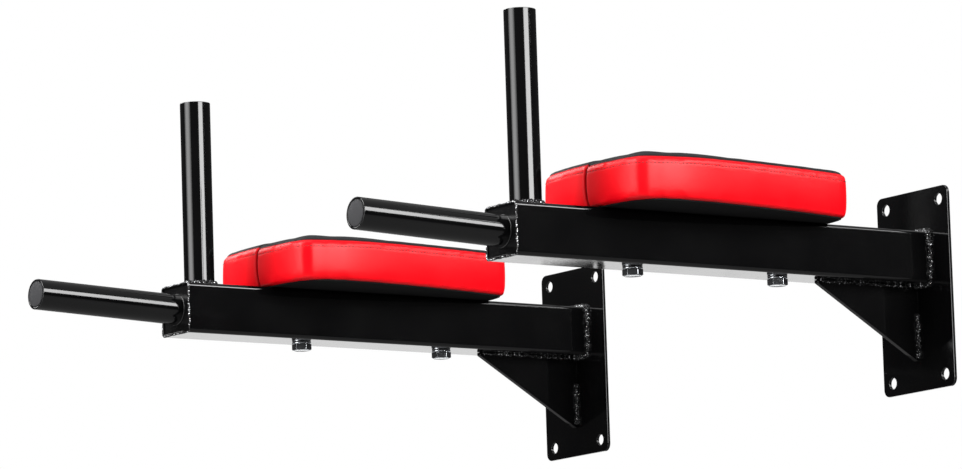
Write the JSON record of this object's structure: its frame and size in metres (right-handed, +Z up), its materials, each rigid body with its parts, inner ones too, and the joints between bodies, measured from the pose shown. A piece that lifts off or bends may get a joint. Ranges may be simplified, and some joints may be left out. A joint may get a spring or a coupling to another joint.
{
  "type": "dip station",
  "caption": "Wall-held dip station: steel arms with a wall plate, gusset, padded forearm rest, upright grip and forward grip each, for dips and leg raises.",
  "frame": {"origin": "on the wall plane, midway between the two arms, at the height of the square tubes' centrelines", "axes": "+Z up, -Y out from the wall along the arms, +X to the right as seen from in front of the wall, towards the right arm"},
  "size_m": [0.744, 0.6465, 0.3353],
  "materials": {
    "black_paint": "gloss black powder coat",
    "red_vinyl": "satin red upholstery vinyl",
    "black_vinyl": "grained black upholstery vinyl",
    "black_plywood": "plywood under a black lining",
    "grey_plastic": "matte dark grey plastic",
    "bright_zinc": "bright zinc plated steel"
  },
  "bodies": {
    "root": {"left_wall_plate": "black_paint", "left_arm_tube": "black_paint", "left_end_plate": "black_paint", "left_gusset": "black_paint", "left_upright_grip": "black_paint", "left_upright_grip_plug": "grey_plastic", "left_forward_grip": "black_paint", "left_forward_grip_plug": "grey_plastic", "left_pad_band": "red_vinyl", "left_pad_top": "black_vinyl", "left_pad_board": "black_plywood", "left_rear_bolt": "bright_zinc", "left_rear_washer": "bright_zinc", "left_rear_tee_nut": "bright_zinc", "left_front_bolt": "bright_zinc", "left_front_washer": "bright_zinc", "left_front_tee_nut": "bright_zinc", "right_wall_plate": "black_paint", "right_arm_tube": "black_paint", "right_end_plate": "black_paint", "right_gusset": "black_paint", "right_upright_grip": "black_paint", "right_upright_grip_plug": "grey_plastic", "right_forward_grip": "black_paint", "right_forward_grip_plug": "grey_plastic", "right_pad_band": "red_vinyl", "right_pad_top": "black_vinyl", "right_pad_board": "black_plywood", "right_rear_bolt": "bright_zinc", "right_rear_washer": "bright_zinc", "right_rear_tee_nut": "bright_zinc", "right_front_bolt": "bright_zinc", "right_front_washer": "bright_zinc", "right_front_tee_nut": "bright_zinc"}
  },
  "joints": []
}
